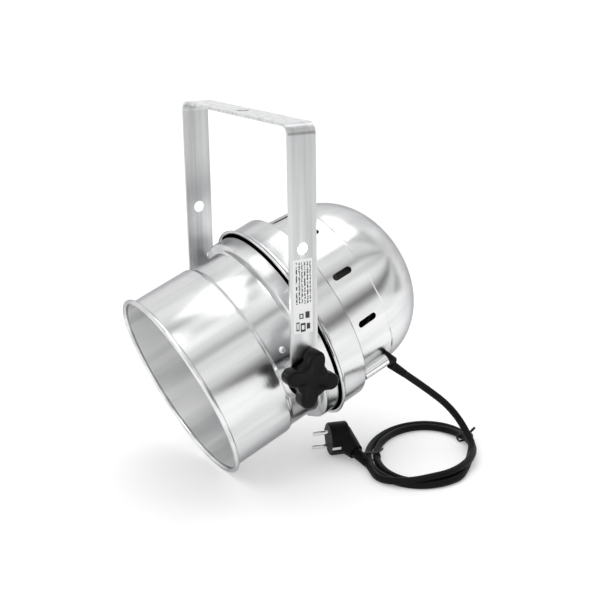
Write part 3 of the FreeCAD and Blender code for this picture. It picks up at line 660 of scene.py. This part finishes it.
def tie(angle, half_width, height, tail_side):
    """A band drawn tight round the coil's strands: a rounded loop across the cord, with its cut tail."""
    a = math.radians(angle)
    x, y = COIL_A * math.cos(a), COIL_B * math.sin(a)
    c, s = math.cos(COIL_TURN), math.sin(COIL_TURN)
    centre = Vector((COIL_C.x + x * c - y * s, COIL_C.y + x * s + y * c, FLOOR_Z))
    along = Vector((-COIL_A * math.sin(a), COIL_B * math.cos(a)))
    along = Vector((along.x * c - along.y * s, along.x * s + along.y * c, 0)).normalized()
    out = Vector((along.y, -along.x, 0))
    corner, points, faces, around, thick = 0.0038, [], [], 32, 0.0009
    for layer, side in ((0, -1), (0, 1), (1, 1), (1, -1)):
        for k in range(around):
            t = 2 * math.pi * k / around
            sx, sz = math.copysign(1, math.cos(t)), math.copysign(1, math.sin(t))
            px = sx * (half_width - corner) + (corner + layer * thick) * math.cos(t)
            pz = height / 2 + sz * (height / 2 - corner) + (corner + layer * thick) * math.sin(t)
            points.append(centre + out * px + Vector((0, 0, max(pz, 0))) + along * (side * 0.0024))
    for ring in range(4):
        for k in range(around):
            n = (k + 1) % around
            m = (ring + 1) % 4
            faces.append((ring * around + k, ring * around + n, m * around + n, m * around + k))
    start = len(points)
    root = centre + out * (half_width * 0.75 * tail_side) + Vector((0, 0, height + 0.0004))
    tip = root + out * (0.006 * tail_side) + Vector((0, 0, 0.005))
    for end in (root, tip):
        for u, v in ((-1, -1), (1, -1), (1, 1), (-1, 1)):
            points.append(end + along * (0.0018 * u) + Vector((0, 0, 0.0006 * v)))
    faces += [(start, start + 1, start + 2, start + 3), (start + 7, start + 6, start + 5, start + 4)]
    faces += [(start + k, start + 4 + k, start + 4 + (k + 1) % 4, start + (k + 1) % 4) for k in range(4)]
    return points, faces


def ties():
    """Both ties as one piece, in place of the plain bands."""
    points, faces = [], []
    for angle, half_width, height, tail_side in TIES:
        some, quads = tie(angle, half_width, height, tail_side)
        faces += [tuple(i + len(points) for i in quad) for quad in quads]
        points += some
    made = mesh_object("cord_ties_drawn", points, faces, "tie")
    made.data.set_sharp_from_angle(angle=math.radians(40))
    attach(made, "head")
    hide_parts("cord_ties")
    return made


def sleeve(name, start, end, r0, r1, ribs, look):
    """Tapered strain relief with a ring of grooves near its thin end."""
    axis = (end - start)
    length = axis.length
    turn = axis.to_track_quat("Z", "Y").to_matrix()
    outline = [(0, 0.0), (0, r0 * 0.92), (0.0005, r0)]
    for k in range(ribs):
        z = length * (0.25 + 0.68 * k / ribs)
        step = length * 0.68 / ribs
        for part, depth in ((0.0, 0), (0.15, 0.0007), (0.5, 0.0007), (0.65, 0)):
            at = z + part * step
            outline.append((at, r0 + (r1 - r0) * at / length - depth))
    outline += [(length - 0.0003, r1), (length, r1 * 0.97), (length, 0.0)]
    points, faces, around = [], [], 40
    for z, r in outline:
        for k in range(around):
            a = 2 * math.pi * k / around
            points.append(start + turn @ Vector((max(r, 1e-5) * math.cos(a), max(r, 1e-5) * math.sin(a), z)))
    for i in range(len(outline) - 1):
        for k in range(around):
            n = (k + 1) % around
            faces.append((i * around + k, i * around + n, (i + 1) * around + n, (i + 1) * around + k))
    made = mesh_object(name, points, faces, look)
    made.data.set_sharp_from_angle(angle=math.radians(50))
    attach(made, "head")
    return made


def build():
    """Puts every visual piece on the frame."""
    dress_cad_nodes()
    for piece, node in ((barrel(), "front_barrel"), (housing(), "rear_housing"), (dome(), "rear_dome")):
        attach(piece, "head")
        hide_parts(node)
    for side in ("near", "far"):
        knob(side)
    line = cord()
    cord_start = Vector(CORD_ROUTE[0])
    can_sleeve = sleeve("cord_relief_ribbed", cord_start - CORD_EXIT_WAY * CORD_RELIEF_L, cord_start,
                        0.0052, 0.0042, 5, "rubber")
    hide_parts("cord_relief")
    plug_sleeve = sleeve("plug_relief_ribbed", NECK_AT, PLUG_CORD_AT, 0.0064, 0.0043, 6, "plug")
    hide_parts("plug_relief")
    on_cord = [frame["nodes"][n] for n in ("plug_body", "plug_pins", "plug_earth_clips")]
    on_cord += [can_sleeve, plug_sleeve, ties()]


# ---- studio -------------------------------------------------------------------------------------
def camera():
    """The main view, from low down in front of the labelled leg."""
    data = bpy.data.cameras.new("camera")
    data.lens, data.sensor_width = 66.6, 36
    made = bpy.data.objects.new("camera", data)
    bpy.context.scene.collection.objects.link(made)
    back = Vector((math.sin(VIEW_AZIMUTH) * math.cos(VIEW_ELEVATION),
                   -math.cos(VIEW_AZIMUTH) * math.cos(VIEW_ELEVATION), math.sin(VIEW_ELEVATION)))
    right = Vector((math.cos(VIEW_AZIMUTH), math.sin(VIEW_AZIMUTH), 0))
    up = back.cross(right)
    turned_right = right * math.cos(VIEW_ROLL) + up * math.sin(VIEW_ROLL)
    turned_up = up * math.cos(VIEW_ROLL) - right * math.sin(VIEW_ROLL)
    pose = Matrix((turned_right, turned_up, back)).transposed().to_4x4()
    pose.translation = (1.02828, -0.50762, 0.13389)
    made.matrix_world = pose
    bpy.context.scene.camera = made


def softbox(name, at, size, watts):
    """A square area light aimed at the object."""
    data = bpy.data.lights.new(name, "AREA")
    data.shape = "RECTANGLE"
    data.size = data.size_y = size
    data.energy = watts
    made = bpy.data.objects.new(name, data)
    made.location = at
    made.rotation_euler = (Vector((0, 0, -0.2)) - Vector(at)).to_track_quat("-Z", "Y").to_euler()
    bpy.context.scene.collection.objects.link(made)


def studio_sky():
    """Soft banks of light and grey flags round the can's axis: they make the long streaks on the metal."""
    world = bpy.data.worlds.new("studio")
    bpy.context.scene.world = world
    world.use_nodes = True
    nodes, links = world.node_tree.nodes, world.node_tree.links
    coords = nodes.new("ShaderNodeTexCoord")
    turn = nodes.new("ShaderNodeVectorRotate")
    turn.rotation_type = "X_AXIS"
    turn.inputs["Angle"].default_value = -TILT
    links.new(coords.outputs["Generated"], turn.inputs["Vector"])
    split = nodes.new("ShaderNodeSeparateXYZ")
    links.new(turn.outputs[0], split.inputs[0])
    angle = nodes.new("ShaderNodeMath")
    angle.operation = "ARCTAN2"
    links.new(split.outputs["Z"], angle.inputs[0])
    links.new(split.outputs["X"], angle.inputs[1])
    share = nodes.new("ShaderNodeMapRange")
    share.inputs["From Min"].default_value = -math.pi
    share.inputs["From Max"].default_value = math.pi
    links.new(angle.outputs[0], share.inputs["Value"])
    bands = nodes.new("ShaderNodeValToRGB")
    bands.color_ramp.interpolation = "EASE"
    stops = bands.color_ramp.elements
    for degrees, grey in SKY_BANDS:
        stop = stops.new((degrees + 180) / 360)
        stop.color = (grey, grey, grey, 1)
    stops.remove(stops[0])
    stops.remove(stops[-1])
    links.new(share.outputs[0], bands.inputs["Fac"])
    shade = nodes.new("ShaderNodeMapRange")
    shade.inputs["From Min"].default_value = -1
    shade.inputs["From Max"].default_value = 1
    shade.inputs["To Min"].default_value = 1.15
    shade.inputs["To Max"].default_value = 0.9
    links.new(split.outputs["Y"], shade.inputs["Value"])
    light = nodes["Background"]
    links.new(bands.outputs["Color"], light.inputs["Color"])
    links.new(shade.outputs[0], light.inputs["Strength"])


def studio():
    """White paper under and behind the object, the sky and two soft lights."""
    half_width, bend, bend_at, sweep = 5.0, 0.8, 1.6, []
    for angle in range(0, 91, 6):
        a = math.radians(angle)
        sweep.append((bend_at + bend * math.sin(a), bend - bend * math.cos(a)))
    profile = [(-4.0, 0.0)] + sweep + [(2.4, 4.0)]
    away = Vector((-math.sin(VIEW_AZIMUTH), math.cos(VIEW_AZIMUTH), 0))
    across = Vector((away.y, -away.x, 0))
    points = [away * d + across * side + Vector((0, 0, FLOOR_Z - 0.0002 + h))
              for d, h in profile for side in (-half_width, half_width)]
    faces = [(2 * i, 2 * i + 2, 2 * i + 3, 2 * i + 1) for i in range(len(profile) - 1)]
    sheet = bpy.data.meshes.new("paper_sweep")
    sheet.from_pydata([tuple(p) for p in points], [], faces)
    sheet.shade_smooth()
    white = material("paper_white", (0.82, 0.82, 0.82), 0.0, 1.0, Emission_Color=(1, 1, 1, 1),
                     Emission_Strength=0.27, Specular_IOR_Level=0.0)[0]
    sheet.materials.append(white)
    paper = bpy.data.objects.new("paper_sweep", sheet)
    bpy.context.scene.collection.objects.link(paper)
    studio_sky()
    softbox("key", (0.6, -1.6, 1.6), 0.9, 10)
    softbox("top", (-0.2, 0.3, 2.0), 1.6, 11)
    scene = bpy.context.scene
    scene.view_settings.view_transform = "Standard"
    scene.render.resolution_x = scene.render.resolution_y = 600


build()
camera()
studio()
